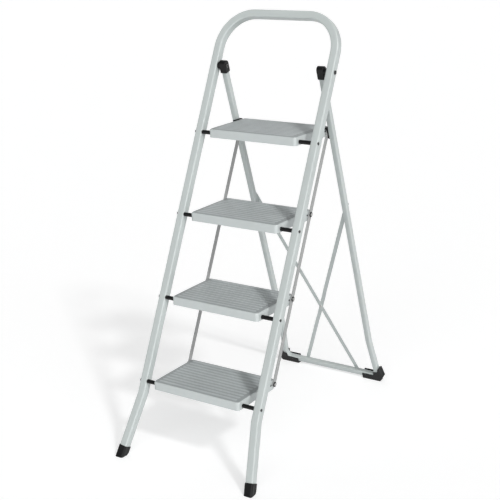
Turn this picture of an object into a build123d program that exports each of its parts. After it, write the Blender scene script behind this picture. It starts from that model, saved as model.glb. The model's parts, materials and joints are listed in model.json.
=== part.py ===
from build123d import *
import os
from math import cos, hypot, radians, sin, tan

os.makedirs("parts", exist_ok=True)

# ---------------------------------------------------------------------------
# Driving dimensions, in millimetres and degrees
# ---------------------------------------------------------------------------

# Stance of the two frames
front_lean = 25.5          # front frame leans back from the vertical
rear_lean = 17.7           # rear frame slopes back from its pivots
pivot_above_axle = 209.18  # rear frame's pivots, up the legs from the top axle
hoop_above_pivot = 174.0   # top of the handrail hoop, up the legs from the pivots
rear_leg_gap = 1.3         # between a latch hook and the rear leg beside it
pivot_spacer_length = 8.3  # between a pivot cap and the front leg beside it

# Front frame tube: one rounded square tube bent to an inverted U
front_tube_width = 24.0
front_tube_depth = 25.0
front_tube_corner = 4.0
front_tube_wall = 1.2
hoop_bend = 106.0          # centre line radius of the hoop's corners
front_splay_s = 194.0      # height up the leg where the legs turn outwards
front_splay = 8.1          # how far they turn
splay_bend = 60.0          # centre line radius of the gentle leg bends
front_tube_end = 8.0       # tube's lower end, above the floor along the leg

# Rear frame tube: one smaller square tube bent to a U
rear_tube_size = 17.0
rear_tube_corner = 2.8
rear_tube_wall = 1.2
rear_bar_z = 17.0          # centre of the bottom bar, above the floor
rear_bar_bend = 24.0       # centre line radius of its two lower corners
rear_splay_rise = 147.0    # from the bar up to the outward bend
rear_splay_shift = 13.1    # how far out the corners stand
rear_tube_top = 9.0        # tube's upper end, above the pivots

# Front feet
foot_wall = 1.8
foot_height = 30.5         # top rim, up the leg
foot_heel_rise = 6.0       # bevel at the back of the sole
foot_heel_run = 9.0

# Rear corner feet
shoe_wall = 3.0
shoe_front_rise = 5.0      # top of the low front wall, above the bar's centre
shoe_length = 54.6         # channel under the bar, from the corner inwards
shoe_tip_reach = 21.0      # outermost point, past the corner of the tube
shoe_fin_height = 37.0     # top of the fin, above the bar's centre
shoe_fin_width = 3.5       # fin, outside the tube
shoe_back_rise = 2.5       # top of the thin back wall, above the tube
shoe_knee_share = 0.7      # inner end of the fin's slope, as a share of its height
shoe_pocket_reach = 12.0   # from the corner to where the front wall rises

# Pivot hardware of the rear frame
cap_wall = 2.5
cap_below = 21.0
cap_round_rise = 5.5
spacer_diameter = 21.0
pivot_diameter = 8.0
pivot_head_diameter = 12.0
pivot_head_height = 3.2
pivot_nut_diameter = 11.0
pivot_nut_height = 2.0
pivot_thread_end = 1.0     # bolt's end past its nut

# Treads: pressed steel pans with a ribbed pad on top
tread_count = 4
tread_width = 300.0
tread_depth = 192.0
tread_corner = 10.0
tread_sheet = 1.2
tread_edge_round = 3.0
tread_rise = 228.6         # level difference from tread to tread
first_axle_s = 231.0       # lowest axle, up the front legs
axle_forward = 7.5         # axles lie ahead of the leg's centre line
tread_nose = 21.6          # front edge, ahead of the axle
tread_top = 15.0           # sheet's top face, above the axle
skirt_height = 24.5
ear_drop = 3.5             # extra depth of the side flanges at the back
ear_round = 12.0
rear_skirt_height = 19.0
pad_inset = 3.0
pad_thickness = 1.2
rib_count = 11
rib_width = 5.0
rib_side_margin = 11.0     # from the pad's edge to the ribs' ends
rib_end_margin = 11.5      # from the pad's edge to the first rib
rib_height = 0.9

# Tread axles and their sleeves
axle_diameter = 8.0
axle_head_diameter = 9.0
axle_head_height = 0.8
sleeve_wall = 2.0

# Link bars that tie the treads' back corners together
link_pin_back = 158.5      # link pins, behind the axle
link_pin_up = 3.5          # and above it
link_width = 14.0
link_thickness = 3.0
link_bush_length = 1.5
link_bush_diameter = 9.0
link_pin_diameter = 6.0
link_washer_diameter = 15.0
link_washer_thickness = 2.4
link_head_diameter = 9.0
link_head_height = 1.0
corner_rivet_back = 146.0
corner_rivet_up = 3.0
corner_rivet_diameter = 6.0
corner_rivet_height = 0.9

# Cross braces on the back of the rear frame
brace_width = 12.5
brace_thickness = 2.5
brace_top_drop = 450.0     # top rivets, down from the pivots
brace_foot_inset = 83.0    # bottom rivets, from the rear corners
brace_end_margin = 8.0
brace_joggle = 45.0        # half length of the raised part at the crossing
brace_ramp = 25.0
brace_rivet_diameter = 5.0
brace_rivet_head = 8.5
brace_rivet_height = 1.8

# Latch between the top tread and the rear legs
latch_pin_below = 17.4     # latch pins, below the top tread's link pins
latch_pin_diameter = 6.0
latch_pin_head = 9.0       # rivet head inside the leg's wall
latch_pin_head_height = 1.2
latch_roller_diameter = 14.0
latch_hook_thickness = 4.0
latch_hub_radius = 10.0
latch_seat_gap = 0.9       # between the roller and the hook's seat
latch_corner = 1.6         # rounding of the hook's corners
latch_prong_width = 5.0
lever_rise = 2.0           # top of the thumb lever, above the tread
lever_thickness = 4.2
lever_reach = 40.0         # forward of the link pin

# Clearances
run_gap = 0.08             # radial, shaft in a hole
fit_gap = 0.1              # fixed parts beside each other
side_gap = 0.3             # moving faces beside each other
washer_gap = 0.2           # thin washers beside a moving bar

# ---------------------------------------------------------------------------
# Layout worked out from the driving dimensions
# ---------------------------------------------------------------------------

front_sin = sin(radians(front_lean))
front_cos = cos(radians(front_lean))
rear_sin = sin(radians(rear_lean))
rear_cos = cos(radians(rear_lean))

sole_reach = (front_tube_depth / 2 + foot_wall) / front_cos
axle_pitch = tread_rise / front_cos
axle_s = [first_axle_s + i * axle_pitch for i in range(tread_count)]
pivot_s = axle_s[-1] + pivot_above_axle
hoop_top_s = pivot_s + hoop_above_pivot
pivot_z = pivot_s * front_cos
pivot_run = pivot_s * front_sin
rear_floor_run = pivot_run + pivot_z * tan(radians(rear_lean))
shoe_half_depth = rear_tube_size / 2 + fit_gap + shoe_wall
rear_reach = rear_floor_run + shoe_half_depth / rear_cos
base_y = (sole_reach - rear_reach) / 2
pivot_y = base_y + pivot_run

rear_bar_drop = (pivot_z - rear_bar_z) / rear_cos
rear_splay_drop = rear_bar_drop - rear_splay_rise
top_pin_z = axle_s[-1] * front_cos + axle_forward * front_sin + link_pin_up
latch_pin_drop = (pivot_z - top_pin_z + latch_pin_below) / rear_cos

# Across the width, from a tread's flange out to the front leg
cap_size = rear_tube_size + 2 * cap_wall
sleeve_diameter = axle_diameter + 2 * sleeve_wall
flange_x = tread_width / 2
link_inner_x = flange_x + link_bush_length
link_outer_x = link_inner_x + link_thickness
washer_start_x = link_outer_x + washer_gap
washer_end_x = washer_start_x + link_washer_thickness
hook_end_x = washer_start_x + latch_hook_thickness
rear_inner_x = hook_end_x + rear_leg_gap
rear_half_width = rear_inner_x + rear_tube_size / 2
cap_inner_x = rear_half_width - cap_size / 2
cap_outer_x = rear_half_width + cap_size / 2
leg_inner_x = cap_outer_x + pivot_spacer_length
front_half_width = leg_inner_x + front_tube_width / 2
leg_outer_x = leg_inner_x + front_tube_width
rear_corner_x = rear_half_width + rear_splay_shift
front_ground_x = front_half_width + front_splay_s * tan(radians(front_splay))
shoe_start_x = rear_corner_x - shoe_length
brace_foot_x = rear_corner_x - brace_foot_inset

# Ribs on the tread pads
rib_length = tread_width - 2 * pad_inset - 2 * rib_side_margin
rib_pitch = (tread_depth - 2 * pad_inset - 2 * rib_end_margin) / (rib_count - 1)

sides = (("left", -1), ("right", 1))

# The front frame's plane: x to the right, y up the legs, z out of the front
front_plane = Plane(origin=(0, base_y, 0), x_dir=(1, 0, 0), z_dir=(0, -front_cos, front_sin))
# The rear frame's plane: x to the right, y up the legs, z towards the front
rear_plane = Plane(origin=(0, pivot_y, pivot_z), x_dir=(1, 0, 0), z_dir=(0, -rear_cos, -rear_sin))


def front_point(x, s, behind=0.0):
    """A point up the front frame, and some way behind its centre plane."""
    y = base_y + s * front_sin + behind * front_cos
    z = s * front_cos - behind * front_sin
    return Vector(x, y, z)


def rear_point(x, drop, behind=0.0):
    """A point down the rear frame from its pivots, and behind its plane."""
    y = pivot_y + drop * rear_sin + behind * rear_cos
    z = pivot_z - drop * rear_cos + behind * rear_sin
    return Vector(x, y, z)


def tread_point(index, x, back, up):
    """A point on a tread, measured from its axle."""
    axle = front_point(0, axle_s[index], -axle_forward)
    return Vector(x, axle.Y + back, axle.Z + up)


def cross_plane(point):
    """A plane through a point that faces +X: x runs back, y runs up."""
    return Plane(origin=point, x_dir=(0, 1, 0), z_dir=(1, 0, 0))


def route_plane(wire, frame_plane):
    """The plane square to a bent tube's route at its first end."""
    along = wire % 0
    across = frame_plane.z_dir.cross(along)
    return Plane(origin=wire @ 0, x_dir=across, z_dir=along)


# ---------------------------------------------------------------------------
# Front frame: legs and handrail hoop in one bent tube
# ---------------------------------------------------------------------------

front_end_x = front_ground_x - front_tube_end * tan(radians(front_splay))
hoop_s = hoop_top_s - front_tube_width / 2
front_corners = (
    (-front_end_x, front_tube_end),
    (-front_half_width, front_splay_s),
    (-front_half_width, hoop_s),
    (front_half_width, hoop_s),
    (front_half_width, front_splay_s),
    (front_end_x, front_tube_end),
)
front_bends = [splay_bend, hoop_bend, hoop_bend, splay_bend]

with BuildPart() as front_frame:
    with BuildLine(front_plane) as front_route:
        FilletPolyline(*front_corners, radius=front_bends)
    with BuildSketch(route_plane(front_route.line, front_plane)):
        RectangleRounded(front_tube_width, front_tube_depth, front_tube_corner)
        RectangleRounded(
            front_tube_width - 2 * front_tube_wall,
            front_tube_depth - 2 * front_tube_wall,
            front_tube_corner - front_tube_wall,
            mode=Mode.SUBTRACT,
        )
    sweep(path=front_route.line)
    bore_length = 2 * (leg_outer_x + front_tube_width)
    for height in axle_s:
        with Locations(front_point(0, height, -axle_forward)):
            Cylinder(axle_diameter / 2 + fit_gap, bore_length, rotation=(0, 90, 0), mode=Mode.SUBTRACT)
    with Locations(front_point(0, pivot_s)):
        Cylinder(pivot_diameter / 2 + fit_gap, bore_length, rotation=(0, 90, 0), mode=Mode.SUBTRACT)
front_frame.part.label = "front_frame"
export_step(front_frame.part, "parts/front_frame.step")

# Front feet: plastic cups on the tube ends, cut flat where they stand
splay_sin = sin(radians(front_splay))
splay_cos = cos(radians(front_splay))

for side_name, side in sides:
    leg_up = front_plane.x_dir * (-side * splay_sin) + front_plane.y_dir * splay_cos
    leg_across = front_plane.z_dir.cross(leg_up)
    rim_x = front_ground_x - foot_height * tan(radians(front_splay))
    rim = front_point(side * rim_x, foot_height)
    tube_end = front_point(side * front_end_x, front_tube_end)
    with BuildPart() as foot:
        with BuildSketch(Plane(origin=rim, x_dir=leg_across, z_dir=leg_up)):
            RectangleRounded(
                front_tube_width + 2 * foot_wall,
                front_tube_depth + 2 * foot_wall,
                front_tube_corner + foot_wall,
            )
        extrude(amount=-2 * foot_height)
        rim_edges = foot.faces().sort_by(Axis(rim, leg_up))[-1].edges()
        fillet(rim_edges, radius=foot_wall * 0.4)
        split(bisect_by=Plane.XY, keep=Keep.TOP)
        heel = Vector(side * front_ground_x, base_y + sole_reach, 0)
        with BuildSketch(cross_plane(heel)):
            with BuildLine():
                Polyline(
                    (-foot_heel_run, -1),
                    (-foot_heel_run, 0),
                    (0, foot_heel_rise),
                    (foot_heel_run, foot_heel_rise),
                    (foot_heel_run, -1),
                    close=True,
                )
            make_face()
        extrude(amount=front_tube_width, both=True, mode=Mode.SUBTRACT)
        with BuildSketch(Plane(origin=tube_end, x_dir=leg_across, z_dir=leg_up)):
            RectangleRounded(
                front_tube_width + 2 * fit_gap,
                front_tube_depth + 2 * fit_gap,
                front_tube_corner + fit_gap,
            )
        extrude(amount=2 * foot_height, mode=Mode.SUBTRACT)
    foot.part.label = "front_foot_" + side_name
    export_step(foot.part, "parts/front_foot_" + side_name + ".step")

# ---------------------------------------------------------------------------
# Rear frame: legs and bottom bar in one bent tube
# ---------------------------------------------------------------------------

rear_corners = (
    (-rear_half_width, rear_tube_top),
    (-rear_half_width, -rear_splay_drop),
    (-rear_corner_x, -rear_bar_drop),
    (rear_corner_x, -rear_bar_drop),
    (rear_half_width, -rear_splay_drop),
    (rear_half_width, rear_tube_top),
)
rear_bends = [splay_bend, rear_bar_bend, rear_bar_bend, splay_bend]
rear_half_tube = rear_tube_size / 2


def rear_route():
    """The rear tube's bent centre line."""
    with BuildLine(rear_plane) as route:
        FilletPolyline(*rear_corners, radius=rear_bends)
    return route.line


# Brace rivets: two at the top on the legs, two on the bar, one where they cross
brace_slope = (rear_half_width + brace_foot_x) / (rear_bar_drop - brace_top_drop)
brace_cross_drop = brace_top_drop + rear_half_width / brace_slope
brace_rivet_points = []
for side_name, side in sides:
    brace_rivet_points.append((side * rear_half_width, brace_top_drop))
    brace_rivet_points.append((side * brace_foot_x, rear_bar_drop))

with BuildPart() as rear_frame:
    rear_wire = rear_route()
    with BuildSketch(route_plane(rear_wire, rear_plane)):
        RectangleRounded(rear_tube_size, rear_tube_size, rear_tube_corner)
        RectangleRounded(
            rear_tube_size - 2 * rear_tube_wall,
            rear_tube_size - 2 * rear_tube_wall,
            rear_tube_corner - rear_tube_wall,
            mode=Mode.SUBTRACT,
        )
    sweep(path=rear_wire)
    with Locations((0, pivot_y, pivot_z)):
        Cylinder(pivot_diameter / 2 + run_gap, bore_length, rotation=(0, 90, 0), mode=Mode.SUBTRACT)
    for side_name, side in sides:
        with Locations(rear_point(side * rear_inner_x, latch_pin_drop)):
            Cylinder(
                latch_pin_diameter / 2 + fit_gap,
                rear_half_tube,
                rotation=(0, 90, 0),
                mode=Mode.SUBTRACT,
            )
    for x, drop in brace_rivet_points:
        back_wall = rear_plane.offset(-rear_half_tube + 2 * rear_tube_wall)
        with BuildSketch(back_wall):
            with Locations((x, -drop)):
                Circle(brace_rivet_diameter / 2 + fit_gap)
        extrude(amount=-4 * rear_tube_wall, mode=Mode.SUBTRACT)
rear_frame.part.label = "rear_frame"
export_step(rear_frame.part, "parts/rear_frame.step")

# Rear corner feet: channels round the tube's lower corners, open on top,
# with a low front wall, a thin back wall and a fin up the outside
bar_y = -rear_bar_drop
floor_y = -pivot_z / rear_cos - shoe_half_depth * tan(radians(rear_lean))
tip_x = rear_corner_x + shoe_tip_reach
fin_y = bar_y + shoe_fin_height
corner_inner_x = rear_corner_x - rear_half_tube
corner_outer_x = rear_corner_x + rear_half_tube
fin_x = corner_outer_x + shoe_fin_width
back_wall_y = bar_y + rear_half_tube + shoe_back_rise
knee_y = bar_y + shoe_knee_share * shoe_fin_height
shoe_outline = (
    (shoe_start_x, floor_y),
    (shoe_start_x, back_wall_y),
    (corner_inner_x - 2.5, back_wall_y),
    (corner_inner_x - 4.0, knee_y),
    (corner_inner_x + 2.0, knee_y),
    (fin_x - 4.0, fin_y - 3.0),
    (fin_x, fin_y),
    (tip_x, bar_y + 2.0),
    (corner_outer_x + 4.0, bar_y - 12.0),
    (corner_outer_x, floor_y),
)
front_wall_y = bar_y + shoe_front_rise
front_cutout = (
    (shoe_start_x - 1, front_wall_y),
    (rear_corner_x - shoe_pocket_reach, front_wall_y),
    (rear_corner_x - shoe_pocket_reach, bar_y + 18.0),
    (rear_corner_x + 2.0, bar_y + 21.0),
    (corner_outer_x - 2.0, bar_y + 28.0),
    (corner_outer_x - 2.0, bar_y + 2 * shoe_fin_height),
    (shoe_start_x - 1, bar_y + 2 * shoe_fin_height),
)
top_opening = (
    (shoe_start_x - 1, bar_y),
    (rear_corner_x - rear_bar_bend, bar_y),
    (rear_corner_x, bar_y + rear_bar_bend),
    (rear_corner_x, bar_y + 2 * shoe_fin_height),
    (shoe_start_x - 1, bar_y + 2 * shoe_fin_height),
)


def mirrored(points, side):
    """The same outline, turned over for the left side."""
    return [(side * x, y) for x, y in points][::side]


for side_name, side in sides:
    with BuildPart() as shoe:
        with BuildSketch(rear_plane.offset(-shoe_half_depth)):
            Polygon(*mirrored(shoe_outline, side), align=None)
        extrude(amount=2 * shoe_half_depth)
        # the tube lies in it, and it is open above the tube
        wire = rear_route()
        channel = rear_tube_size + 2 * fit_gap
        with BuildSketch(route_plane(wire, rear_plane)) as channel_section:
            Rectangle(channel, channel)
        sweep(channel_section.sketch, path=wire, mode=Mode.SUBTRACT)
        with BuildSketch(rear_plane.offset(-channel / 2)):
            Polygon(*mirrored(top_opening, side), align=None)
        extrude(amount=channel, mode=Mode.SUBTRACT)
        with BuildSketch(rear_plane.offset(channel / 2)):
            Polygon(*mirrored(front_cutout, side), align=None)
        extrude(amount=2 * shoe_wall, mode=Mode.SUBTRACT)
        split(bisect_by=Plane.XY, keep=Keep.TOP)
    shoe.part.label = "rear_foot_" + side_name
    export_step(shoe.part, "parts/rear_foot_" + side_name + ".step")

# Pivot caps: plastic ends on the rear legs, rounded about the pivot
for side_name, side in sides:
    cap_plane = Plane(
        origin=rear_point(side * rear_half_width, 0),
        x_dir=(0, rear_cos, rear_sin),
        z_dir=(1, 0, 0),
    )
    with BuildPart() as pivot_cap:
        with BuildSketch(cap_plane):
            with Locations((0, cap_round_rise)):
                Circle(cap_size / 2)
            with Locations((0, (cap_round_rise - cap_below) / 2)):
                Rectangle(cap_size, cap_round_rise + cap_below)
        extrude(amount=cap_size / 2, both=True)
        fillet(pivot_cap.edges(), radius=1.6)
        with BuildSketch(cap_plane):
            pocket_height = rear_tube_top + 2 * cap_below
            with Locations((0, rear_tube_top + fit_gap - pocket_height / 2)):
                Rectangle(rear_tube_size + 2 * fit_gap, pocket_height)
        extrude(amount=rear_half_tube + fit_gap, both=True, mode=Mode.SUBTRACT)
        with BuildSketch(cap_plane):
            Circle(pivot_diameter / 2 + run_gap)
        extrude(amount=cap_size, both=True, mode=Mode.SUBTRACT)
    pivot_cap.part.label = "pivot_cap_" + side_name
    export_step(pivot_cap.part, "parts/pivot_cap_" + side_name + ".step")

# Pivot spacers: bosses between the caps and the front legs
spacer_length = leg_inner_x - cap_outer_x - side_gap
for side_name, side in sides:
    with BuildPart() as pivot_spacer:
        spacer_x = leg_inner_x - spacer_length / 2
        with BuildSketch(cross_plane(front_point(side * spacer_x, pivot_s))):
            Circle(spacer_diameter / 2)
            Circle(pivot_diameter / 2 + fit_gap, mode=Mode.SUBTRACT)
        extrude(amount=spacer_length / 2, both=True)
        outer_rims = pivot_spacer.edges().filter_by(GeomType.CIRCLE).sort_by(SortBy.RADIUS)[-2:]
        chamfer(outer_rims, length=0.8)
    pivot_spacer.part.label = "pivot_spacer_" + side_name
    export_step(pivot_spacer.part, "parts/pivot_spacer_" + side_name + ".step")

# Pivot bolts: a domed head outside the front leg, a nut inside the cap
bolt_end_x = cap_inner_x - side_gap - pivot_nut_height - pivot_thread_end
for side_name, side in sides:
    with BuildPart() as pivot_bolt:
        with BuildSketch(cross_plane(front_point(side * bolt_end_x, pivot_s))):
            Circle(pivot_diameter / 2)
        extrude(amount=side * (leg_outer_x + pivot_head_height / 2 - bolt_end_x))
        with BuildSketch(cross_plane(front_point(side * leg_outer_x, pivot_s))):
            Circle(pivot_head_diameter / 2)
        extrude(amount=side * pivot_head_height)
        dome = pivot_bolt.faces().sort_by(Axis.X)[-1 if side > 0 else 0]
        fillet(dome.edges(), radius=pivot_head_height * 0.8)
    pivot_bolt.part.label = "pivot_bolt_" + side_name
    export_step(pivot_bolt.part, "parts/pivot_bolt_" + side_name + ".step")

with BuildPart() as pivot_nuts:
    for side_name, side in sides:
        nut_x = cap_inner_x - side_gap
        with BuildSketch(cross_plane(front_point(side * nut_x, pivot_s))):
            RegularPolygon(pivot_nut_diameter / 2, 6)
            Circle(pivot_diameter / 2 + fit_gap, mode=Mode.SUBTRACT)
        extrude(amount=-side * pivot_nut_height)
pivot_nuts.part.label = "pivot_nuts"
export_step(pivot_nuts.part, "parts/pivot_nuts.step")

# ---------------------------------------------------------------------------
# Treads, pads, axles and sleeves
# ---------------------------------------------------------------------------

tread_middle = tread_depth / 2 - tread_nose
tread_back = tread_depth - tread_nose
skirt_bottom = tread_top - skirt_height
ear_bottom = skirt_bottom - ear_drop
pan_height = skirt_height + ear_drop

for index in range(tread_count):
    number = str(index + 1)

    # Pan: one pressed sheet with a skirt all round and ears at the back
    with BuildPart() as tread:
        pan_top = Plane(origin=tread_point(index, 0, tread_middle, tread_top))
        with BuildSketch(pan_top):
            RectangleRounded(tread_width, tread_depth, tread_corner)
        extrude(amount=-pan_height)
        fillet(tread.faces().sort_by(Axis.Z)[-1].edges(), radius=tread_edge_round)
        with BuildSketch(pan_top.offset(-tread_sheet)):
            RectangleRounded(
                tread_width - 2 * tread_sheet,
                tread_depth - 2 * tread_sheet,
                tread_corner - tread_sheet,
            )
        extrude(amount=-pan_height, mode=Mode.SUBTRACT)
        # the side flanges deepen towards the back and end in rounded ears
        with BuildSketch(cross_plane(tread_point(index, 0, 0, 0))):
            with BuildLine():
                Polyline(
                    (-tread_nose - 1, ear_bottom - 1),
                    (-tread_nose - 1, skirt_bottom),
                    (tread_middle, skirt_bottom),
                    (tread_back - 3 * ear_round, ear_bottom),
                    (tread_back - ear_round, ear_bottom),
                    (tread_back, ear_bottom + ear_round),
                    (tread_back + 1, ear_bottom + ear_round),
                    (tread_back + 1, ear_bottom - 1),
                    close=True,
                )
            make_face()
        extrude(amount=tread_width, both=True, mode=Mode.SUBTRACT)
        with BuildSketch(cross_plane(tread_point(index, 0, tread_back, 0))):
            with Locations((0, tread_top - rear_skirt_height - ear_round)):
                Rectangle(4 * tread_sheet, 2 * ear_round)
        extrude(amount=tread_width / 2 - tread_corner, both=True, mode=Mode.SUBTRACT)
        for back, up, radius in (
            (0, 0, axle_diameter / 2 + run_gap),
            (link_pin_back, link_pin_up, link_pin_diameter / 2 + fit_gap),
            (corner_rivet_back, corner_rivet_up, corner_rivet_diameter / 4 + fit_gap),
        ):
            with Locations(tread_point(index, 0, back, up)):
                Cylinder(radius, tread_width + 10, rotation=(0, 90, 0), mode=Mode.SUBTRACT)
    tread.part.label = "tread_" + number
    export_step(tread.part, "parts/tread_" + number + ".step")

    # Pad: a grey cover with raised ribs across the width
    with BuildPart() as tread_pad:
        pad_plane = Plane(origin=tread_point(index, 0, tread_middle, tread_top))
        with BuildSketch(pad_plane):
            RectangleRounded(
                tread_width - 2 * pad_inset,
                tread_depth - 2 * pad_inset,
                tread_corner - 1,
            )
        extrude(amount=pad_thickness)
        with BuildSketch(pad_plane.offset(pad_thickness)):
            with GridLocations(0, rib_pitch, 1, rib_count):
                SlotOverall(rib_length, rib_width)
        extrude(amount=rib_height, taper=30)
    tread_pad.part.label = "tread_pad_" + number
    export_step(tread_pad.part, "parts/tread_pad_" + number + ".step")

    # Axle: a rod through both front legs, the sleeves and the tread
    axle_plane = cross_plane(front_point(0, axle_s[index], -axle_forward))
    with BuildPart() as tread_axle:
        with BuildSketch(axle_plane):
            Circle(axle_diameter / 2)
        extrude(amount=leg_outer_x + axle_head_height / 2, both=True)
        for side_name, side in sides:
            with BuildSketch(axle_plane.offset(side * leg_outer_x)):
                Circle(axle_head_diameter / 2)
            extrude(amount=side * axle_head_height)
    tread_axle.part.label = "tread_axle_" + number
    export_step(tread_axle.part, "parts/tread_axle_" + number + ".step")

    # Sleeves: plastic tubes that keep the tread in the middle of its axle
    sleeve_start = flange_x + side_gap
    sleeve_end = leg_inner_x - fit_gap
    with BuildPart() as axle_sleeves:
        for side_name, side in sides:
            with BuildSketch(axle_plane.offset(side * sleeve_start)):
                Circle(sleeve_diameter / 2)
                Circle(axle_diameter / 2 + fit_gap, mode=Mode.SUBTRACT)
            extrude(amount=side * (sleeve_end - sleeve_start))
    axle_sleeves.part.label = "axle_sleeves_" + number
    export_step(axle_sleeves.part, "parts/axle_sleeves_" + number + ".step")

# ---------------------------------------------------------------------------
# Link bars and the hardware at their pins
# ---------------------------------------------------------------------------

link_span = (tread_count - 1) * axle_pitch
link_middle = tread_point(0, 0, link_pin_back, link_pin_up) + front_plane.y_dir * (link_span / 2)

for side_name, side in sides:
    # x runs up the bar, because the bar is parallel to the front legs
    link_plane = Plane(
        origin=(side * link_inner_x, link_middle.Y, link_middle.Z),
        x_dir=(0, front_sin, front_cos),
        z_dir=(1, 0, 0),
    )
    with BuildPart() as link_bar:
        with BuildSketch(link_plane):
            SlotCenterToCenter(link_span, link_width)
            with GridLocations(axle_pitch, 0, tread_count, 1):
                Circle(link_pin_diameter / 2 + run_gap, mode=Mode.SUBTRACT)
        extrude(amount=side * link_thickness)
        chamfer(link_bar.faces().sort_by(Axis.X)[-1 if side > 0 else 0].outer_wire().edges(), length=0.4)
    link_bar.part.label = "link_bar_" + side_name
    export_step(link_bar.part, "parts/link_bar_" + side_name + ".step")

# the inner rivet heads stand clear of the pan's rounded back corners
inner_corner = tread_corner - tread_sheet
head_past_corner = max(0, link_pin_back + link_head_diameter / 2 - (tread_back - tread_corner))
corner_curve = inner_corner - (inner_corner**2 - head_past_corner**2) ** 0.5
inner_head_x = flange_x - tread_sheet - fit_gap - corner_curve - link_head_height

for index in range(tread_count):
    number = str(index + 1)
    top_tread = index == tread_count - 1
    pin_plane = cross_plane(tread_point(index, 0, link_pin_back, link_pin_up))
    pin_end = hook_end_x if top_tread else washer_end_x

    # Pins: riveted inside the flange, and over the washer outside the bar
    with BuildPart() as link_pins:
        for side_name, side in sides:
            with BuildSketch(pin_plane.offset(side * inner_head_x)):
                Circle(link_head_diameter / 2)
            extrude(amount=side * link_head_height)
            with BuildSketch(pin_plane.offset(side * inner_head_x)):
                Circle(link_pin_diameter / 2)
            extrude(amount=side * (pin_end - inner_head_x))
            if not top_tread:
                with BuildSketch(pin_plane.offset(side * (pin_end + fit_gap))):
                    Circle(link_head_diameter / 2)
                extrude(amount=side * link_head_height)
                with BuildSketch(pin_plane.offset(side * pin_end)):
                    Circle(link_pin_diameter / 2)
                extrude(amount=side * 2 * fit_gap)
    link_pins.part.label = "link_pins_" + number
    export_step(link_pins.part, "parts/link_pins_" + number + ".step")

    # Bushes: short tubes that hold the bar clear of the tread's flange
    with BuildPart() as link_bushes:
        for side_name, side in sides:
            with BuildSketch(pin_plane.offset(side * (flange_x + fit_gap))):
                Circle(link_bush_diameter / 2)
                Circle(link_pin_diameter / 2 + fit_gap, mode=Mode.SUBTRACT)
            extrude(amount=side * (link_bush_length - fit_gap - washer_gap))
    link_bushes.part.label = "link_bushes_" + number
    export_step(link_bushes.part, "parts/link_bushes_" + number + ".step")

    # Washers: plastic discs under the outer rivet heads; the hooks take
    # their place on the top tread
    if not top_tread:
        with BuildPart() as link_washers:
            for side_name, side in sides:
                with BuildSketch(pin_plane.offset(side * washer_start_x)):
                    Circle(link_washer_diameter / 2)
                    Circle(link_pin_diameter / 2 + fit_gap, mode=Mode.SUBTRACT)
                extrude(amount=side * link_washer_thickness)
        link_washers.part.label = "link_washers_" + number
        export_step(link_washers.part, "parts/link_washers_" + number + ".step")

    # Corner rivets: close the folded back corners of the pan
    rivet_plane = cross_plane(tread_point(index, 0, corner_rivet_back, corner_rivet_up))
    with BuildPart() as corner_rivets:
        for side_name, side in sides:
            with BuildSketch(rivet_plane.offset(side * (flange_x + fit_gap))):
                Circle(corner_rivet_diameter / 2)
            extrude(amount=side * corner_rivet_height, taper=20)
            with BuildSketch(rivet_plane.offset(side * (flange_x - 2 * tread_sheet))):
                Circle(corner_rivet_diameter / 4)
            extrude(amount=side * (2 * tread_sheet + 2 * fit_gap))
    corner_rivets.part.label = "corner_rivets_" + number
    export_step(corner_rivets.part, "parts/corner_rivets_" + number + ".step")

# ---------------------------------------------------------------------------
# Cross braces on the back of the rear frame
# ---------------------------------------------------------------------------

brace_dx = rear_half_width + brace_foot_x
brace_dy = rear_bar_drop - brace_top_drop
brace_span = hypot(brace_dx, brace_dy)
brace_end = brace_span / 2 + brace_end_margin
brace_mid_drop = (brace_top_drop + rear_bar_drop) / 2
brace_mid_x = (rear_half_width - brace_foot_x) / 2
cross_along = (brace_cross_drop - brace_mid_drop) / brace_dy * brace_span

for number, side, lift in (("1", -1, 0.0), ("2", 1, brace_thickness + fit_gap)):
    # x runs down the brace, y runs back, away from the frame
    down = rear_plane.x_dir * (-side * brace_dx / brace_span) - rear_plane.y_dir * (brace_dy / brace_span)
    behind = rear_plane.z_dir * -1
    middle = rear_point(side * brace_mid_x, brace_mid_drop, rear_half_tube + fit_gap)
    profile_plane = Plane(origin=middle, x_dir=down, z_dir=down.cross(behind))
    stations = (
        (-brace_end, 0),
        (cross_along - brace_joggle - brace_ramp, 0),
        (cross_along - brace_joggle, lift),
        (cross_along + brace_joggle, lift),
        (cross_along + brace_joggle + brace_ramp, 0),
        (brace_end, 0),
    )
    with BuildPart() as brace:
        with BuildSketch(profile_plane):
            with BuildLine():
                near = [(x, y) for x, y in stations]
                far = [(x, y + brace_thickness) for x, y in reversed(stations)]
                if lift == 0:
                    near = [near[0], near[-1]]
                    far = [far[0], far[-1]]
                Polyline(*near, *far, close=True)
            make_face()
        extrude(amount=brace_width / 2, both=True)
        hole_plane = Plane(origin=middle, x_dir=down, z_dir=behind)
        with BuildSketch(hole_plane.offset(-1)):
            with Locations((-brace_span / 2, 0), (brace_span / 2, 0), (cross_along, 0)):
                Circle(brace_rivet_diameter / 2 + fit_gap)
        extrude(amount=4 * brace_thickness, mode=Mode.SUBTRACT)
    brace.part.label = "cross_brace_" + number
    export_step(brace.part, "parts/cross_brace_" + number + ".step")

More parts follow.
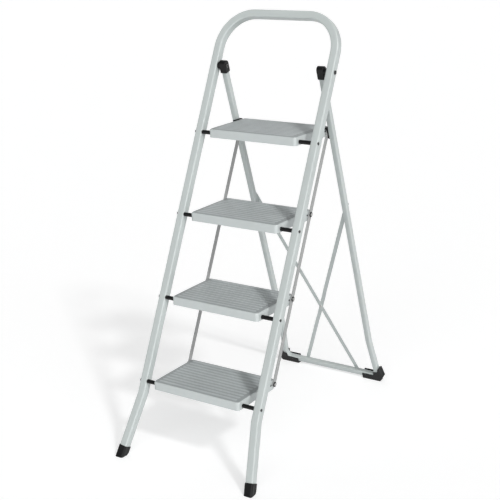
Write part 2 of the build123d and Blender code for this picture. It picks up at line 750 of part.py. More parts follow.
# Brace rivets: round heads behind the braces
brace_front = rear_half_tube + fit_gap
with BuildPart() as brace_rivets:
    for x, drop in brace_rivet_points:
        head_start = brace_front + brace_thickness + fit_gap
        with BuildSketch(rear_plane.offset(-head_start)):
            with Locations((x, -drop)):
                Circle(brace_rivet_head / 2)
        extrude(amount=-brace_rivet_height, taper=35)
        shank = head_start - rear_half_tube + 2 * rear_tube_wall
        with BuildSketch(rear_plane.offset(-head_start)):
            with Locations((x, -drop)):
                Circle(brace_rivet_diameter / 2)
        extrude(amount=shank)
    cross_head = brace_front + 2 * brace_thickness + 2 * fit_gap
    with BuildSketch(rear_plane.offset(-cross_head)):
        with Locations((0, -brace_cross_drop)):
            Circle(brace_rivet_head / 2)
    extrude(amount=-brace_rivet_height, taper=35)
    with BuildSketch(rear_plane.offset(-cross_head)):
        with Locations((0, -brace_cross_drop)):
            Circle(brace_rivet_diameter / 2)
    extrude(amount=cross_head - brace_front + fit_gap)
    with BuildSketch(rear_plane.offset(-brace_front + fit_gap)):
        with Locations((0, -brace_cross_drop)):
            Circle(brace_rivet_head / 2)
    extrude(amount=brace_rivet_height, taper=35)
brace_rivets.part.label = "brace_rivets"
export_step(brace_rivets.part, "parts/brace_rivets.step")

# ---------------------------------------------------------------------------
# Latch: rollers on the rear legs, hooks on the top tread
# ---------------------------------------------------------------------------

roller_start = link_outer_x + side_gap
roller_end = rear_inner_x - fit_gap
leg_wall_x = rear_inner_x + rear_tube_wall
with BuildPart() as latch_pins:
    for side_name, side in sides:
        with BuildSketch(cross_plane(rear_point(side * roller_start, latch_pin_drop))):
            Circle(latch_pin_diameter / 2)
        extrude(amount=side * (leg_wall_x - roller_start))
        with BuildSketch(cross_plane(rear_point(side * (leg_wall_x + fit_gap), latch_pin_drop))):
            Circle(latch_pin_head / 2)
        extrude(amount=side * latch_pin_head_height)
        with BuildSketch(cross_plane(rear_point(side * leg_wall_x, latch_pin_drop))):
            Circle(latch_pin_diameter / 2)
        extrude(amount=side * 2 * fit_gap)
latch_pins.part.label = "latch_pins"
export_step(latch_pins.part, "parts/latch_pins.step")

with BuildPart() as latch_rollers:
    for side_name, side in sides:
        with BuildSketch(cross_plane(rear_point(side * roller_start, latch_pin_drop))):
            Circle(latch_roller_diameter / 2)
            Circle(latch_pin_diameter / 2 + fit_gap, mode=Mode.SUBTRACT)
        extrude(amount=side * (roller_end - roller_start))
latch_rollers.part.label = "latch_rollers"
export_step(latch_rollers.part, "parts/latch_rollers.step")

# Hooks: they turn on the top tread's link pins. A thumb lever runs forward
# above the tread, and a prong drops behind the roller.
top_pin = tread_point(tread_count - 1, 0, link_pin_back, link_pin_up)
roller_centre = rear_point(0, latch_pin_drop)
roller_back = roller_centre.Y - top_pin.Y
roller_up = roller_centre.Z - top_pin.Z
seat_radius = latch_roller_diameter / 2 + latch_seat_gap
prong_inner = roller_back + seat_radius
prong_outer = prong_inner + latch_prong_width
lever_top = tread_top - link_pin_up + lever_rise
hook_outline = (
    (-lever_reach, lever_top),
    (-lever_reach, lever_top - lever_thickness),
    (-latch_hub_radius - 6.0, lever_top - lever_thickness - 1.5),
    (-latch_hub_radius, 0),
    (-latch_hub_radius * 0.7, -latch_hub_radius * 0.7),
    (0, -latch_hub_radius + 0.4),
    (roller_back, roller_up),
    (prong_inner, roller_up - 6.0),
    (prong_inner + 1.5, roller_up - 10.0),
    (prong_outer - 1.0, roller_up - 9.0),
    (prong_outer, roller_up - 4.0),
    (prong_outer, 2.0),
    (latch_hub_radius, 10.0),
    (2.0, lever_top),
)
for side_name, side in sides:
    hook_plane = cross_plane(top_pin).offset(side * washer_start_x)
    with BuildPart() as latch_hook:
        with BuildSketch(hook_plane) as latch_hook_sketch:
            with BuildLine():
                Polyline(*hook_outline, close=True)
            make_face()
            fillet(latch_hook_sketch.vertices(), radius=latch_corner)
            with Locations((roller_back, roller_up)):
                Circle(seat_radius, mode=Mode.SUBTRACT)
            Circle(link_pin_diameter / 2 + run_gap, mode=Mode.SUBTRACT)
        extrude(amount=side * latch_hook_thickness)
        chamfer(latch_hook.faces().sort_by(Axis.X)[-1 if side > 0 else 0].outer_wire().edges(), length=0.4)
    latch_hook.part.label = "latch_hook_" + side_name
    export_step(latch_hook.part, "parts/latch_hook_" + side_name + ".step")
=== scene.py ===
# %% [markdown]
# # A folding four-tread step ladder
#
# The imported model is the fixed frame: tubes, treads, braces, pins and feet at their real
# size, in metres, with +Z up and the climber standing at -Y. This file gives that frame its
# finishes, and makes each piece again with the small radii, ribs and panels that its maker
# would leave on it. Nothing is placed by hand: each piece starts from its node in the frame.

# %% load the frame
import json
from math import pi, radians

import bmesh
import bpy
from mathutils import Euler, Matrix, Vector


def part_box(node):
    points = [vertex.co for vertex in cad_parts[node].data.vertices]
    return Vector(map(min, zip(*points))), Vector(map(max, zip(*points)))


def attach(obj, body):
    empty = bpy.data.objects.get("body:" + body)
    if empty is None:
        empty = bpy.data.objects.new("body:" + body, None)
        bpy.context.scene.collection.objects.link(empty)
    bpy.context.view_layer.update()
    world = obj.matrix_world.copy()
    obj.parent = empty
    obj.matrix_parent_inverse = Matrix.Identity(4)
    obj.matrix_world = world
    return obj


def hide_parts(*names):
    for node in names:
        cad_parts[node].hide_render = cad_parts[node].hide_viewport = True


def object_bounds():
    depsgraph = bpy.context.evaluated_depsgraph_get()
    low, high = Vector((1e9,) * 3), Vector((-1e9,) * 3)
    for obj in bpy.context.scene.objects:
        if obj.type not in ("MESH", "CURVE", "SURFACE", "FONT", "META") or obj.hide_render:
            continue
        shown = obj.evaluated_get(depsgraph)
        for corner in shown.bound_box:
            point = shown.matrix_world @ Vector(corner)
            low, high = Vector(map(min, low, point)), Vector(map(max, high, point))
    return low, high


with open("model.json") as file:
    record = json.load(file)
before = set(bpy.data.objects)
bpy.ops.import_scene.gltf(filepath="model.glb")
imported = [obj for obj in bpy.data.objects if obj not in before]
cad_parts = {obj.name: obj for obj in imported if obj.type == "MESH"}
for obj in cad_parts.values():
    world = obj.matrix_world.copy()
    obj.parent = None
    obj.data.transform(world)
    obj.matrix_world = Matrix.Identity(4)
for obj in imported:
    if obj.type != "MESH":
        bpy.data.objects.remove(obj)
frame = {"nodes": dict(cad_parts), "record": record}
cad_low, cad_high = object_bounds()
nodes = frame["nodes"]
print("frame", len(nodes), "nodes,", "height", round(cad_high.z - cad_low.z, 3))

# %% [markdown]
# ## Which body and which finish
#
# The frame's record already says which moving body holds each node, and which material slot
# the node takes its finish from. Both are turned into look-up tables here, so that no piece
# below has to repeat them and none can end up on the wrong body.

# %% look-up tables
SIDE_NAMES = ("left", "right")
TREADS = (1, 2, 3, 4)
BODY_OF_NODE = {node_name: body
                for body, held in frame["record"]["behaviour"]["bodies"].items()
                for node_name in held}
SLOT_OF_NODE = {part["node"]: part["material_slot"] for part in frame["record"]["subparts"]}

# %% [markdown]
# ## Camera
#
# The camera stands a little above the hoop, off the front right corner. Its lens is long,
# which keeps the upright tubes nearly parallel, as a catalogue picture does. A wide lens
# close by would show more of the treads, but it would splay the legs. The small upward shift
# frames the ladder without tilting the camera, which would make the legs lean.

# %% camera
LENS_MM = 79.708
SENSOR_MM = 36.0
LENS_SHIFT = 0.02816
CAMERA_PLACE = (1.74903, -2.65495, 1.54230)
CAMERA_TURN_DEGREES = (71.9735, 1.6682, 33.3990)

camera_data = bpy.data.cameras.new("camera")
camera_data.lens = LENS_MM
camera_data.sensor_width = SENSOR_MM
camera_data.shift_y = LENS_SHIFT
camera = bpy.data.objects.new("camera", camera_data)
camera.location = CAMERA_PLACE
camera.rotation_euler = Euler([radians(turn) for turn in CAMERA_TURN_DEGREES])
bpy.context.scene.collection.objects.link(camera)
bpy.context.scene.camera = camera
print("camera at", tuple(round(v, 3) for v in camera.location))

# %% [markdown]
# ## Lamps
#
# Paint only looks like paint when its sides differ. A firm key light from the high right
# draws the legs' shadows on the treads, a very wide fill from the front right keeps the sides
# that face the climber readable, and a weak wide one from behind left stops the back from
# going dull. Area lamps could do this too, but they fade with distance. Sun lamps give the
# same light all over the floor, and their angle alone sets how soft a shadow is.

# %% lamps
LAMPS = (  # name, direction it shines from, brightness of a white card facing it, angle in degrees
    ("key_light", (0.98, -0.42, 1.0), 0.38, 6.0),
    ("fill_light", (0.58, -0.71, 0.46), 0.65, 80.0),
    ("back_light", (-0.70, 0.60, 0.42), 0.26, 100.0),
)
for lamp_name, from_direction, level, angle in LAMPS:
    lamp_data = bpy.data.lights.new(lamp_name, "SUN")
    lamp_data.energy = level * pi
    lamp_data.angle = radians(angle)
    lamp = bpy.data.objects.new(lamp_name, lamp_data)
    lamp.rotation_euler = Vector(from_direction).to_track_quat("Z", "Y").to_euler()
    bpy.context.scene.collection.objects.link(lamp)
print("lamps", len(LAMPS))

# %% [markdown]
# ## Studio surroundings
#
# A white studio is bright along the walls and dim overhead. The world's background is given
# that shape: a half-bright ground, a bright band at the horizon and an almost dark top, all
# by the height of the direction alone. A single even level would be simpler, but it lights
# the treads' tops as much as their skirts, and then the pressed shapes disappear.

# %% studio surroundings
STUDIO_LEVELS = (  # place from 0, straight down, to 1, straight up; level of light
    (0.475, 0.50),
    (0.495, 0.98),
    (0.56, 0.40),
    (0.65, 0.03),
)
STUDIO_TINT = (0.95, 0.98, 1.0)

world = bpy.data.worlds.new("studio")
world.use_nodes = True
sky = world.node_tree
direction = sky.nodes.new("ShaderNodeTexCoord")
split = sky.nodes.new("ShaderNodeSeparateXYZ")
heights = sky.nodes.new("ShaderNodeMapRange")
heights.inputs["From Min"].default_value = -1.0
heights.inputs["From Max"].default_value = 1.0
levels = sky.nodes.new("ShaderNodeValToRGB")
for _ in range(len(STUDIO_LEVELS) - len(levels.color_ramp.elements)):
    levels.color_ramp.elements.new(0.5)
for stop, (place, level) in zip(levels.color_ramp.elements, STUDIO_LEVELS):
    stop.position = place
    stop.color = (*(level * tint for tint in STUDIO_TINT), 1.0)
sky.links.new(direction.outputs["Generated"], split.inputs["Vector"])
sky.links.new(split.outputs["Z"], heights.inputs["Value"])
sky.links.new(heights.outputs["Result"], levels.inputs["Fac"])
sky.links.new(levels.outputs["Color"], sky.nodes["Background"].inputs["Color"])
bpy.context.scene.world = world
bpy.context.scene.view_settings.view_transform = "Standard"
print("studio levels", [level for _, level in STUDIO_LEVELS])

# %% [markdown]
# ## Floor
#
# The floor is one wide pale sheet, so that every view ends on it, a hair below the feet so
# that the two surfaces never share a plane. It doesn't throw light back on the ladder: a
# white floor this large would light the undersides and the lower legs more than the hoop,
# and a real studio floor does so far less, because it is small and partly shaded.

# %% floor
FLOOR_SIZE = 400.0
FLOOR_DROP = 0.0002

floor_shape = bmesh.new()
bmesh.ops.create_grid(floor_shape, x_segments=1, y_segments=1, size=FLOOR_SIZE / 2)
floor_mesh = bpy.data.meshes.new("floor")
floor_shape.to_mesh(floor_mesh)
floor_shape.free()
floor = bpy.data.objects.new("floor", floor_mesh)
floor.location.z = cad_low.z - FLOOR_DROP
bpy.context.scene.collection.objects.link(floor)
floor.visible_diffuse = False
print("floor", FLOOR_SIZE, "m wide")

# %% [markdown]
# ## Finishes
#
# A finish is built from a Principled shader and two or three noises in object coordinates,
# which are metres in the frame, so that a pattern keeps its real scale on every piece. One
# helper wires a slow noise to the colour, another a finer one to the roughness, and a third a
# very fine one to a bump. What is the same all over a surface stays on the shader's own
# sockets, where it survives an export.

# %% an even finish
def finish(name, colour, roughness, specular=0.5, metallic=0.0, coat=0.0, coat_roughness=0.1):
    """A new material with its even values on the shader's own sockets."""
    material = bpy.data.materials.new(name)
    material.use_nodes = True
    shader = material.node_tree.nodes["Principled BSDF"]
    shader.inputs["Base Color"].default_value = (*colour, 1.0)
    shader.inputs["Roughness"].default_value = roughness
    shader.inputs["Specular IOR Level"].default_value = specular
    shader.inputs["Metallic"].default_value = metallic
    shader.inputs["Coat Weight"].default_value = coat
    shader.inputs["Coat Roughness"].default_value = coat_roughness
    return material

def tone(colour, factor):
    """The same colour, a little lighter or darker."""
    return tuple(min(1.0, c * factor) for c in colour)

print("even finish ready")

# %% noises and what they drive
NOISE_LOW, NOISE_HIGH = 0.3, 0.7  # nearly all of a noise's values lie between these

def noise(material, scale, detail):
    """A noise in object coordinates, with scale in waves per metre."""
    tree = material.node_tree
    place = tree.nodes.new("ShaderNodeTexCoord")
    texture = tree.nodes.new("ShaderNodeTexNoise")
    texture.inputs["Scale"].default_value = scale
    texture.inputs["Detail"].default_value = detail
    tree.links.new(place.outputs["Object"], texture.inputs["Vector"])
    return texture.outputs["Fac"]

def spread(material, value, low, high):
    """Maps a noise's usual range to low..high."""
    tree = material.node_tree
    ranger = tree.nodes.new("ShaderNodeMapRange")
    ranger.inputs["From Min"].default_value = NOISE_LOW
    ranger.inputs["From Max"].default_value = NOISE_HIGH
    ranger.inputs["To Min"].default_value = low
    ranger.inputs["To Max"].default_value = high
    tree.links.new(value, ranger.inputs["Value"])
    return ranger.outputs["Result"]

def mottle(material, value, dark, light):
    """Colours the surface between two close tones."""
    tree = material.node_tree
    ramp = tree.nodes.new("ShaderNodeValToRGB")
    for stop, place, colour in zip(ramp.color_ramp.elements, (NOISE_LOW, NOISE_HIGH), (dark, light)):
        stop.position = place
        stop.color = (*colour, 1.0)
    tree.links.new(value, ramp.inputs["Fac"])
    tree.links.new(ramp.outputs["Color"], tree.nodes["Principled BSDF"].inputs["Base Color"])

def roughen(material, value):
    """Drives the roughness."""
    tree = material.node_tree
    tree.links.new(value, tree.nodes["Principled BSDF"].inputs["Roughness"])

def bump(material, value, height, strength):
    """A fine relief of a given height in metres."""
    tree = material.node_tree
    relief = tree.nodes.new("ShaderNodeBump")
    relief.inputs["Strength"].default_value = strength
    relief.inputs["Distance"].default_value = height
    tree.links.new(value, relief.inputs["Height"])
    tree.links.new(relief.outputs["Normal"], tree.nodes["Principled BSDF"].inputs["Normal"])

print("noise helpers ready")

# %% [markdown]
# ## Powder coat
#
# The tubes, braces, treads and link bars are sprayed with dry paint powder and baked. The
# powder melts into a satin skin with a fine orange peel, and pools a little unevenly. A plain
# glossy colour would look like enamel, so the roughness drifts, a thin coat lies on top for
# the sharper sheen, and a bump with waves of two millimetres makes the peel.

# %% powder coat
def powder_coat(name, colour, roughness):
    """Baked powder paint: satin, with a fine orange peel."""
    paint = finish(name, colour, roughness, specular=0.5, coat=0.25, coat_roughness=0.18)
    mottle(paint, noise(paint, scale=9.0, detail=3.0), dark=tone(colour, 0.975), light=tone(colour, 1.02))
    roughen(paint, spread(paint, noise(paint, scale=60.0, detail=3.0),
                          low=roughness - 0.04, high=roughness + 0.05))
    bump(paint, noise(paint, scale=520.0, detail=2.0), height=0.00006, strength=0.6)
    return paint

frame_paint = powder_coat("frame_paint", (0.560, 0.602, 0.590), 0.36)
tread_paint = powder_coat("tread_paint", (0.590, 0.628, 0.622), 0.36)
link_paint = powder_coat("link_paint", (0.385, 0.388, 0.385), 0.42)
print("powder coats", frame_paint.name, tread_paint.name, link_paint.name)

# %% [markdown]
# ## Ribbed cover's plastic
#
# The covers are a soft grey plastic. The grooves are coloured darker than the ribs as painted shade,
# and the rib tops lighter as a painted highlight, because ribs this low cast almost no shade of their
# own. That could be a striped pattern, but it would have to be lined up with the ribs by hand. The covers'
# meshes carry an attribute named rib instead, 1 on a rib and 0 on the sheet, and the colour follows it.
# Slow scuffs multiply it.

# %% cover plastic
COVER_GREY = (0.430, 0.462, 0.466)
# painted shade: the grooves are drawn this much darker than the cover's grey
GROOVE_PAINTED_SHADE = 0.76
# painted highlight: the rib tops are drawn this much lighter than the cover's grey
RIB_PAINTED_HIGHLIGHT = 1.10
MIX_FACTOR, MIX_A, MIX_B, MIX_RESULT = 0, 6, 7, 2  # a Mix node's sockets when it mixes colours

cover = finish("tread_cover", COVER_GREY, roughness=0.34, specular=0.5)
cover_tree = cover.node_tree
by_rib = cover_tree.nodes.new("ShaderNodeAttribute")
by_rib.attribute_name = "rib"
# chooses between the painted groove shade and the painted rib highlight, by the rib attribute
painted_shade_or_highlight = cover_tree.nodes.new("ShaderNodeMix")
painted_shade_or_highlight.data_type = "RGBA"
painted_shade_or_highlight.inputs[MIX_A].default_value = (*tone(COVER_GREY, GROOVE_PAINTED_SHADE), 1.0)
painted_shade_or_highlight.inputs[MIX_B].default_value = (*tone(COVER_GREY, RIB_PAINTED_HIGHLIGHT), 1.0)
cover_tree.links.new(by_rib.outputs["Fac"], painted_shade_or_highlight.inputs[MIX_FACTOR])
scuffs = cover_tree.nodes.new("ShaderNodeMix")
scuffs.data_type = "RGBA"
scuffs.blend_type = "MULTIPLY"
scuffs.inputs[MIX_FACTOR].default_value = 1.0
scuff_tone = spread(cover, noise(cover, scale=14.0, detail=3.0), low=0.95, high=1.05)
cover_tree.links.new(painted_shade_or_highlight.outputs[MIX_RESULT], scuffs.inputs[MIX_A])
cover_tree.links.new(scuff_tone, scuffs.inputs[MIX_B])
cover_tree.links.new(scuffs.outputs[MIX_RESULT], cover_tree.nodes["Principled BSDF"].inputs["Base Color"])
roughen(cover, spread(cover, noise(cover, scale=90.0, detail=3.0), low=0.30, high=0.40))
bump(cover, noise(cover, scale=1400.0, detail=2.0), height=0.00005, strength=0.5)
print("cover plastic", len(cover_tree.nodes), "nodes")

# %% [markdown]
# ## Black plastic
#
# The feet, caps, hooks, sleeves, spacers, bushes, washers, rollers and small corner rivets are
# black moulded plastic. A moulded face takes the fine grain of its mould, so its shine breaks
# up. Real black is never zero, and a specular level below the usual half keeps it from turning
# grey under the wide fill light.

# %% black plastic
PLASTIC_BLACK = (0.005, 0.005, 0.0055)

plastic = finish("black_plastic", PLASTIC_BLACK, roughness=0.44, specular=0.28)
mottle(plastic, noise(plastic, scale=40.0, detail=2.0),
       dark=tone(PLASTIC_BLACK, 0.85), light=tone(PLASTIC_BLACK, 1.25))
roughen(plastic, spread(plastic, noise(plastic, scale=180.0, detail=3.0), low=0.36, high=0.50))
bump(plastic, noise(plastic, scale=1800.0, detail=2.0), height=0.00006, strength=0.6)
print("black plastic", plastic.name)

# %% [markdown]
# ## Zinc plate
#
# The braces' rivets, the link and latch pins and the nuts are steel with a thin bright zinc
# plate. It is a metal, so the colour is its reflection, and the plating's crystals are a few
# millimetres wide at most: the mottling is fine and strong, and the roughness wanders with a
# finer noise.

# %% zinc plate
ZINC_GREY = (0.52, 0.52, 0.51)

zinc = finish("zinc_plate", ZINC_GREY, roughness=0.34, metallic=1.0)
mottle(zinc, noise(zinc, scale=220.0, detail=3.0), dark=tone(ZINC_GREY, 0.82), light=tone(ZINC_GREY, 1.08))
roughen(zinc, spread(zinc, noise(zinc, scale=400.0, detail=2.0), low=0.26, high=0.44))
print("zinc plate", zinc.name)

# %% [markdown]
# ## Blackened steel
#
# The axle rods and the pivot bolts are steel that was blackened in a bath. The layer is thin
# and dull, and shows the steel a little where it is thinnest. It could be a dark metal, but a
# dark metal mirrors the studio, so it is a dark surface with a weak shine and coarse mottling.

# %% blackened steel
STEEL_BLACK = (0.020, 0.020, 0.021)

black_steel = finish("blackened_steel", STEEL_BLACK, roughness=0.45, specular=0.4)
mottle(black_steel, noise(black_steel, scale=300.0, detail=2.0),
       dark=tone(STEEL_BLACK, 0.8), light=tone(STEEL_BLACK, 1.5))
roughen(black_steel, spread(black_steel, noise(black_steel, scale=500.0, detail=2.0), low=0.35, high=0.55))
print("blackened steel", black_steel.name)

# %% [markdown]
# ## The floor's sheet
#
# The sheet is matt and pale, and glows a little by itself. Its own glow brings it up to white
# where nothing shades it, and its pale colour still lets the lamps draw the ladder's shadow.
# With no glow, the lamps would have to be so bright that the paint lost its tones.

# %% floor sheet
SHEET_WHITE = (0.60, 0.60, 0.60)
SHEET_GLOW = 0.56

floor_paint = finish("floor_paint", SHEET_WHITE, roughness=0.7, specular=0.2)
floor_shader = floor_paint.node_tree.nodes["Principled BSDF"]
floor_shader.inputs["Emission Color"].default_value = (1.0, 1.0, 1.0, 1.0)
floor_shader.inputs["Emission Strength"].default_value = SHEET_GLOW
floor.data.materials.append(floor_paint)
print("floor glow", SHEET_GLOW)

# %% [markdown]
# ## Finishes for the frame's own nodes
#
# Each node's slot names its finish. The nodes get theirs by that name, even though a finer
# piece will stand for each, so that a node that is ever left showing is never plain.

# %% give each frame node its finish
FINISH_OF_SLOT = {
    "white_powder_coat": frame_paint,
    "grey_powder_coat": tread_paint,
    "grey_link_coat": link_paint,
    "grey_tread_pad": cover,
    "black_plastic": plastic,
    "zinc_plated_steel": zinc,
    "blackened_steel": black_steel,
}
for node_name, slot in SLOT_OF_NODE.items():
    node_materials = nodes[node_name].data.materials
    node_materials.clear()
    node_materials.append(FINISH_OF_SLOT[slot])
print("finished", len(SLOT_OF_NODE), "frame nodes")

# %% [markdown]
# ## Welded copies with soft edges
#
# Bent tubes, pressed pans and moulded feet have no knife edges. A node's mesh is loose
# triangles, so a copy of it is welded first and its flat faces are joined up. Then the edges
# that turn sharply are rounded, which keeps every size from the frame and adds the small
# bright line that a real edge catches. Smooth shading runs over everything that turns less.

# %% welded copies
WELD = 1e-6
FLAT_TURN = radians(0.5)
SHARP_TURN = radians(28)
EDGE_STEPS = 3
FINE_EDGE_STEPS = 2

def welded(node_name):
    """A copy of a node as one clean mesh, with its flat faces joined."""
    shape = bmesh.new()
    shape.from_mesh(nodes[node_name].data)
    bmesh.ops.remove_doubles(shape, verts=shape.verts, dist=WELD)
    bmesh.ops.dissolve_limit(shape, angle_limit=FLAT_TURN, verts=shape.verts, edges=shape.edges)
    return shape

def piece(name, shape, node_name):
    """Makes an object of a mesh, and hands it to the body and the slot of its node."""
    mesh = bpy.data.meshes.new(name)
    shape.to_mesh(mesh)
    shape.free()
    mesh.shade_smooth()
    mesh.set_sharp_from_angle(angle=SHARP_TURN)
    slot = SLOT_OF_NODE[node_name]
    mesh.materials.append(FINISH_OF_SLOT[slot])
    made = bpy.data.objects.new(name, mesh)
    bpy.context.scene.collection.objects.link(made)
    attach(made, BODY_OF_NODE[node_name])
    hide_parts(node_name)
    return made

def softened(node_name, ending, edge, edge_steps=EDGE_STEPS):
    """A welded copy of a node, with its sharp edges rounded by a modifier."""
    made = piece(f"{node_name}_{ending}", welded(node_name), node_name)
    rounding = made.modifiers.new("rounded edges", "BEVEL")
    rounding.width = edge
    rounding.segments = edge_steps
    rounding.limit_method = "ANGLE"
    rounding.angle_limit = SHARP_TURN
    rounding.harden_normals = True
    return made

print("softening ready, edges that turn over", round(SHARP_TURN, 3), "radians are rounded")

# %% [markdown]
# ## The two bent frames
#
# Each frame is one length of steel tube, drawn square with rounded corners and bent cold. It
# could be swept again along its bends, but the frame's mesh already has them, so the copy
# only needs smooth shading along them, and a fine break at the cut ends and drilled holes.

# %% bent frames
TUBE_EDGE = 0.00035
for node_name in ("front_frame", "rear_frame"):
    tube = softened(node_name, "tube", TUBE_EDGE, FINE_EDGE_STEPS)
    print(tube.name, len(tube.data.polygons), "faces")

# %% [markdown]
# ## Treads
#
# A tread is one sheet of steel, pressed into a shallow pan with a skirt. The press leaves a
# radius along every fold, and the sheet's cut edge shows only under the skirt. The large radii
# are in the frame, so only the thin edges are rounded, by less than half the sheet.

# %% tread pans
PAN_EDGE = 0.0004
for number in TREADS:
    pan = softened(f"tread_{number}", "pan", PAN_EDGE, FINE_EDGE_STEPS)
print("tread pans", len(TREADS), "with", len(pan.data.polygons), "faces each")

# %% [markdown]
# ## One rib
#
# A rib is a low bar with round ends and a rounded top, so a shoe grips it and water runs off.
# A cube is stretched to the rib's length, its four upright edges are bevelled until its ends
# are half circles, and then the rim of its top is rounded over. A cylinder cut in half would
# have a higher crown than a moulded rib has.

# %% one rounded rib
STEEP_TURN = radians(60)
END_SHARE = 0.49  # of the rib's width: nearly a half circle, but the two bevels never meet
TOP_SHARE = 0.8  # of the rib's height
RIM_BAND = 0.1  # of the rib's height: an edge this near the top belongs to the rim
END_STEPS = 8
TOP_STEPS = 4

def rounded_rib(shape, foot, length, width, height):
    """Adds a low bar along X with round ends and a rounded top, standing on its foot."""
    bar = bmesh.ops.create_cube(shape, size=1.0)["verts"]
    bmesh.ops.scale(shape, verts=bar, vec=(length, width, height))
    bmesh.ops.translate(shape, verts=bar, vec=(foot.x, foot.y, foot.z + height / 2))
    uprights = [edge for edge in {edge for vert in bar for edge in vert.link_edges}
                if abs(edge.verts[0].co.z - edge.verts[1].co.z) > height / 2]
    ends = bmesh.ops.bevel(shape, geom=uprights, affect="EDGES", offset=width * END_SHARE,
                           segments=END_STEPS, profile=0.5, material=-1)
    bar_verts = {vert for vert in set(bar) | set(ends["verts"]) if vert.is_valid}
    rim_level = foot.z + height * (1 - RIM_BAND)
    rim = [edge for edge in {edge for vert in bar_verts for edge in vert.link_edges}
           if min(vert.co.z for vert in edge.verts) > rim_level
           and len(edge.link_faces) == 2 and edge.calc_face_angle(0) > STEEP_TURN]
    bmesh.ops.bevel(shape, geom=rim, affect="EDGES", offset=height * TOP_SHARE,
                    segments=TOP_STEPS, profile=0.5, material=-1)

print("rib ready")

# %% [markdown]
# ## Ribbed tread covers
#
# The cover is a thin moulded sheet with round corners and eleven low ribs across the tread.
# It could be one grid pushed up and down, but that leaves the ribs' ends ragged. The sheet
# and the ribs are made apart, and each rib's foot is sunk a little into the sheet, so that
# they read as one moulding with a crisp line along each rib.

# %% the cover's sheet
COVER_SHEET = 0.0012
COVER_CORNER = 0.0088
CORNER_STEPS = 8
RIM_SHARE = 0.5  # of the sheet's thickness
SHEET_BAND = 0.9  # of the sheet's thickness: an edge above this is on its upper side

def cover_sheet(low, high):
    """A thin sheet with round corners and a rounded upper rim, over the whole cover."""
    shape = bmesh.new()
    sheet = bmesh.ops.create_cube(shape, size=1.0)["verts"]
    bmesh.ops.scale(shape, verts=sheet, vec=(high.x - low.x, high.y - low.y, COVER_SHEET))
    bmesh.ops.translate(shape, verts=sheet,
                        vec=((low.x + high.x) / 2, (low.y + high.y) / 2, low.z + COVER_SHEET / 2))
    uprights = [edge for edge in shape.edges
                if abs(edge.verts[0].co.z - edge.verts[1].co.z) > COVER_SHEET / 2]
    bmesh.ops.bevel(shape, geom=uprights, affect="EDGES", offset=COVER_CORNER,
                    segments=CORNER_STEPS, profile=0.5, material=-1)
    upper = [edge for edge in shape.edges
             if min(vert.co.z for vert in edge.verts) > low.z + COVER_SHEET * SHEET_BAND
             and edge.calc_face_angle(0) > STEEP_TURN]
    bmesh.ops.bevel(shape, geom=upper, affect="EDGES", offset=COVER_SHEET * RIM_SHARE,
                    segments=EDGE_STEPS, profile=0.5, material=-1)
    return shape

print("cover sheet", COVER_SHEET, "m thick")

# %% tread covers
RIB_COUNT = 11
RIB_WIDTH = 0.0104
RIB_SIDE_MARGIN = 0.0110
RIB_END_MARGIN = 0.0115
RIB_SINK = 0.0002

def ribbed_cover(number):
    """A tread's cover: its sheet, its ribs, and the attribute that colours them."""
    node_name = f"tread_pad_{number}"
    low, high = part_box(node_name)
    shape = cover_sheet(low, high)
    rib_length = high.x - low.x - 2 * RIB_SIDE_MARGIN
    rib_pitch = (high.y - low.y - 2 * RIB_END_MARGIN) / (RIB_COUNT - 1)
    rib_foot = low.z + COVER_SHEET - RIB_SINK
    for rib in range(RIB_COUNT):
        foot = Vector(((low.x + high.x) / 2, low.y + RIB_END_MARGIN + rib * rib_pitch, rib_foot))
        rounded_rib(shape, foot, rib_length, RIB_WIDTH, high.z - rib_foot)
    # the rib attribute puts the painted highlight on the ribs and the painted shade on the sheet between
    # them
    rib_layer = shape.verts.layers.float.new("rib")
    for vert in shape.verts:
        vert[rib_layer] = 1.0 if vert.co.z > low.z + COVER_SHEET + RIB_SINK else 0.0
    return piece(f"tread_{number}_cover", shape, node_name)

for number in TREADS:
    made_cover = ribbed_cover(number)
print("covers", len(TREADS), "with", RIB_COUNT, "ribs,", len(made_cover.data.polygons), "faces each")

# %% [markdown]
# ## Feet, caps, spacers and hooks
#
# These are moulded in black plastic. A mould needs a small radius on every corner so that the
# plastic flows and the part comes out, and a hard shiny corner is what gives a plain solid
# away. The feet also have shallow panels sunk into their broad sides, because thick plastic
# dents as it cools, and a rim round the hollow keeps its edge straight. The radii are made in
# the mesh here, not by a modifier, because the panels are inset from the rounded faces.

# %% rounding and panels in the mesh
def round_over(shape, width):
    """Rounds every sharp edge of the mesh itself."""
    sharp = [edge for edge in shape.edges if edge.calc_face_angle(0) > SHARP_TURN]
    bmesh.ops.bevel(shape, geom=sharp, affect="EDGES", offset=width, segments=EDGE_STEPS,
                    profile=0.5, material=-1, clamp_overlap=True)

def panels(shape, least_area, rim, depth):
    """Sinks a panel into each broad flat side, inside a rim, and counts the sides."""
    sides = {}
    for face in shape.faces:
        if face.calc_area() > least_area:
            facing = tuple(round(value, 2) for value in face.normal)
            reach = round(face.normal.dot(face.calc_center_median()), 4)
            sides.setdefault((facing, reach), []).append(face)
    for side_faces in sides.values():
        bmesh.ops.inset_region(shape, faces=side_faces, thickness=rim, depth=-depth,
                               use_boundary=True, use_even_offset=True)
    return len(sides)

print("rounding and panels ready")

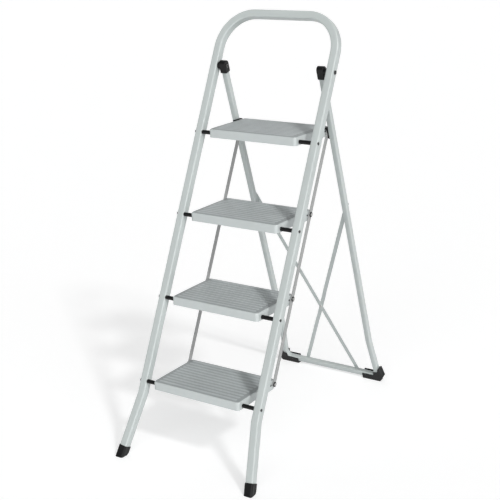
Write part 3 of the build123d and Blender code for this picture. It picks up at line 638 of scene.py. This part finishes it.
# %% moulded pieces
MOULDED = (  # kind, edge radius, least area of a panelled side, its rim
    ("front_foot", 0.0010, 0.00020, 0.0018),
    ("rear_foot", 0.0009, 0.00012, 0.0016),
    ("pivot_cap", 0.0009, None, None),
    ("pivot_spacer", 0.0005, None, None),
    ("latch_hook", 0.0007, None, None),
)
PANEL_DEPTH = 0.00035
for kind, edge, least_area, rim in MOULDED:
    for side_name in SIDE_NAMES:
        node_name = f"{kind}_{side_name}"
        shape = welded(node_name)
        round_over(shape, edge)
        sunk = panels(shape, least_area, rim, PANEL_DEPTH) if rim else 0
        moulding = piece(f"{node_name}_moulding", shape, node_name)
    print(kind, "has", sunk, "panels,", len(moulding.data.polygons), "faces")

# %% [markdown]
# ## Link bars and braces
#
# The link bars and the cross braces are flat strip, blanked with a punch that leaves one edge
# slightly rolled and the other sharp, then coated, which rounds both. Three tenths of a
# millimetre on each edge is enough to stop them looking like cut card.

# %% flat strip pieces
STRIP_EDGE = 0.0003
STRIP_NODES = ("link_bar_left", "link_bar_right", "cross_brace_1", "cross_brace_2")
for node_name in STRIP_NODES:
    softened(node_name, "strip", STRIP_EDGE, FINE_EDGE_STEPS)
print("strip pieces", len(STRIP_NODES))

# %% [markdown]
# ## Turned and headed hardware
#
# The sleeves on the axles, the washers, bushes and rollers are turned or moulded rings, and
# the pins are headed rods whose ends were peened over. Their frame nodes have the right size,
# so they are welded copies too, each with the rounding that its tool would leave: wide on a
# peened head, narrow on a turned ring.

# %% hardware
EDGE_OF_KIND = {
    "axle_sleeves": 0.0006,
    "link_washers": 0.0007,
    "link_bushes": 0.0003,
    "latch_rollers": 0.0006,
    "corner_rivets": 0.0005,
    "link_pins": 0.0005,
    "latch_pins": 0.0003,
    "brace_rivets": 0.0007,
    "pivot_bolt": 0.0003,
    "pivot_nuts": 0.0005,
    "tread_axle": 0.0004,
}
hardware_count = 0
for node_name in sorted(nodes):
    kind = next((kind for kind in EDGE_OF_KIND if node_name.startswith(kind)), None)
    if kind:
        softened(node_name, "piece", EDGE_OF_KIND[kind])
        hardware_count += 1
print("hardware pieces", hardware_count)
